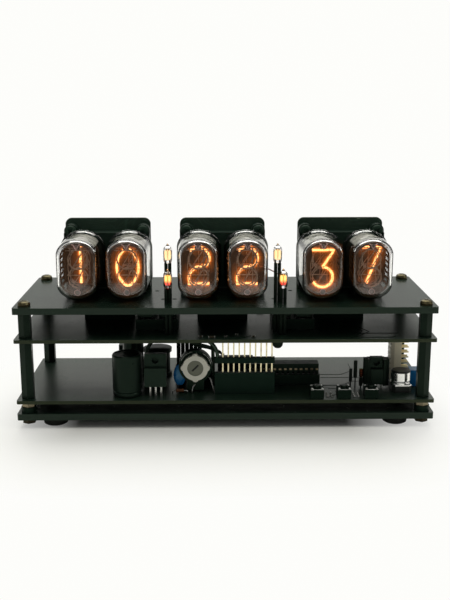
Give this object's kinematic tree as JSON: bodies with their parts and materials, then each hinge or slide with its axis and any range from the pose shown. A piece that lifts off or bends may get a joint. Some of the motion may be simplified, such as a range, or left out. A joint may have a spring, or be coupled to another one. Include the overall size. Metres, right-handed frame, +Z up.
{
  "type": "nixie tube clock",
  "caption": "Open-frame desk clock: glass numeral tubes and neon colons standing on a stack of dark decks held apart by hex posts",
  "frame": {"origin": "middle of the footprint, on the surface that the feet stand on", "axes": "+X to the viewer's right along the long side, +Y to the back, +Z up"},
  "size_m": [0.192, 0.068, 0.0921],
  "materials": {
    "foot_rubber": "soft matt black",
    "black_acrylic": "polished black acrylic",
    "brass_nuts": "turned brass",
    "black_nylon": "moulded black nylon",
    "black_board": "glossy black lacquer over glass fibre",
    "black_posts": "satin black coating",
    "brass_screws": "darkened brass",
    "socket_moulding": "moulded black",
    "black_screws": "black oxide",
    "steel_nuts": "zinc plated",
    "connector_moulding": "moulded black",
    "stem_glass": "pressed glass",
    "tinned_pins": "tinned wire",
    "anode_sheet": "grey nickel sheet",
    "nickel_rods": "bright nickel",
    "white_ceramic": "fired white ceramic",
    "tube_glass": "clear blown glass",
    "numeral_sheet": "etched steel sheet",
    "lamp_glass": "clear glass",
    "electrode_wire": "nickel wire",
    "black_sleeving": "matt black sleeving",
    "black_sleeved_can": "shrunk black sleeve",
    "black_package": "moulded epoxy",
    "blue_coating": "dipped blue epoxy",
    "trimmer_moulding": "moulded black",
    "cream_plastic": "moulded off-white",
    "gold_pins": "gold plated",
    "switch_moulding": "black case with a metal cover",
    "button_plastic": "smooth black",
    "black_anodised": "black anodised",
    "bare_can": "bright drawn aluminium",
    "cream_nylon": "natural nylon",
    "lacquer": "baked lacquer",
    "black_insulation": "smooth insulation",
    "inlet_moulding": "moulded black"
  },
  "bodies": {
    "clock": {"rubber_feet": "foot_rubber", "base_plate": "black_acrylic", "stack_nuts": "brass_nuts", "base_washers": "black_nylon", "main_board": "black_board", "lower_posts": "black_posts", "driver_board": "black_board", "upper_posts": "black_posts", "top_plate": "black_acrylic", "top_screws": "brass_screws", "module_board_1": "black_board", "module_board_2": "black_board", "module_board_3": "black_board", "socket_blocks": "socket_moulding", "socket_screws": "black_screws", "socket_nuts": "steel_nuts", "module_connectors": "connector_moulding", "tube_glass_1": "tube_glass", "tube_glass_2": "tube_glass", "tube_glass_3": "tube_glass", "tube_glass_4": "tube_glass", "tube_glass_5": "tube_glass", "tube_glass_6": "tube_glass", "numerals_1": "numeral_sheet", "numerals_2": "numeral_sheet", "numerals_3": "numeral_sheet", "numerals_4": "numeral_sheet", "numerals_5": "numeral_sheet", "numerals_6": "numeral_sheet", "tube_stems": "stem_glass", "tube_pins": "tinned_pins", "anode_cups": "anode_sheet", "anode_meshes": "anode_sheet", "stack_rods": "nickel_rods", "stack_spacers": "white_ceramic", "colon_lamps": "lamp_glass", "colon_electrodes": "electrode_wire", "colon_sleeves": "black_sleeving", "filter_capacitor": "black_sleeved_can", "reservoir_capacitor": "black_sleeved_can", "power_regulator": "black_package", "disc_capacitor": "blue_coating", "trimmer_body": "trimmer_moulding", "header_socket": "connector_moulding", "header_pins": "gold_pins", "chip_sockets": "socket_moulding", "chips": "black_package", "switch_bodies": "switch_moulding", "clip_heatsink": "black_anodised", "clip_regulator": "black_package", "can_capacitor": "bare_can", "film_capacitor": "blue_coating", "nylon_connector": "cream_nylon", "upright_parts": "lacquer", "link_wires": "black_insulation", "power_inlet": "inlet_moulding"},
    "button_1": {"button_1": "button_plastic"},
    "button_2": {"button_2": "button_plastic"},
    "button_3": {"button_3": "button_plastic"},
    "trimmer_rotor": {"trimmer_rotor": "cream_plastic"}
  },
  "joints": [
    {"name": "button_1_press", "type": "slide", "parent": "clock", "child": "button_1", "axis": [0, 0, -1], "range_m": [0, 0.00025], "stiffness_N_per_m": 600, "springref_m": -0.0001},
    {"name": "button_2_press", "type": "slide", "parent": "clock", "child": "button_2", "axis": [0, 0, -1], "range_m": [0, 0.00025], "stiffness_N_per_m": 600, "springref_m": -0.0001},
    {"name": "button_3_press", "type": "slide", "parent": "clock", "child": "button_3", "axis": [0, 0, -1], "range_m": [0, 0.00025], "stiffness_N_per_m": 600, "springref_m": -0.0001},
    {"name": "trimmer_turn", "type": "hinge", "parent": "clock", "child": "trimmer_rotor", "pos_m": [-0.0141, -0.0226, 0.0262], "axis": [0, 1, 0], "range_deg": [-130, 130]}
  ]
}
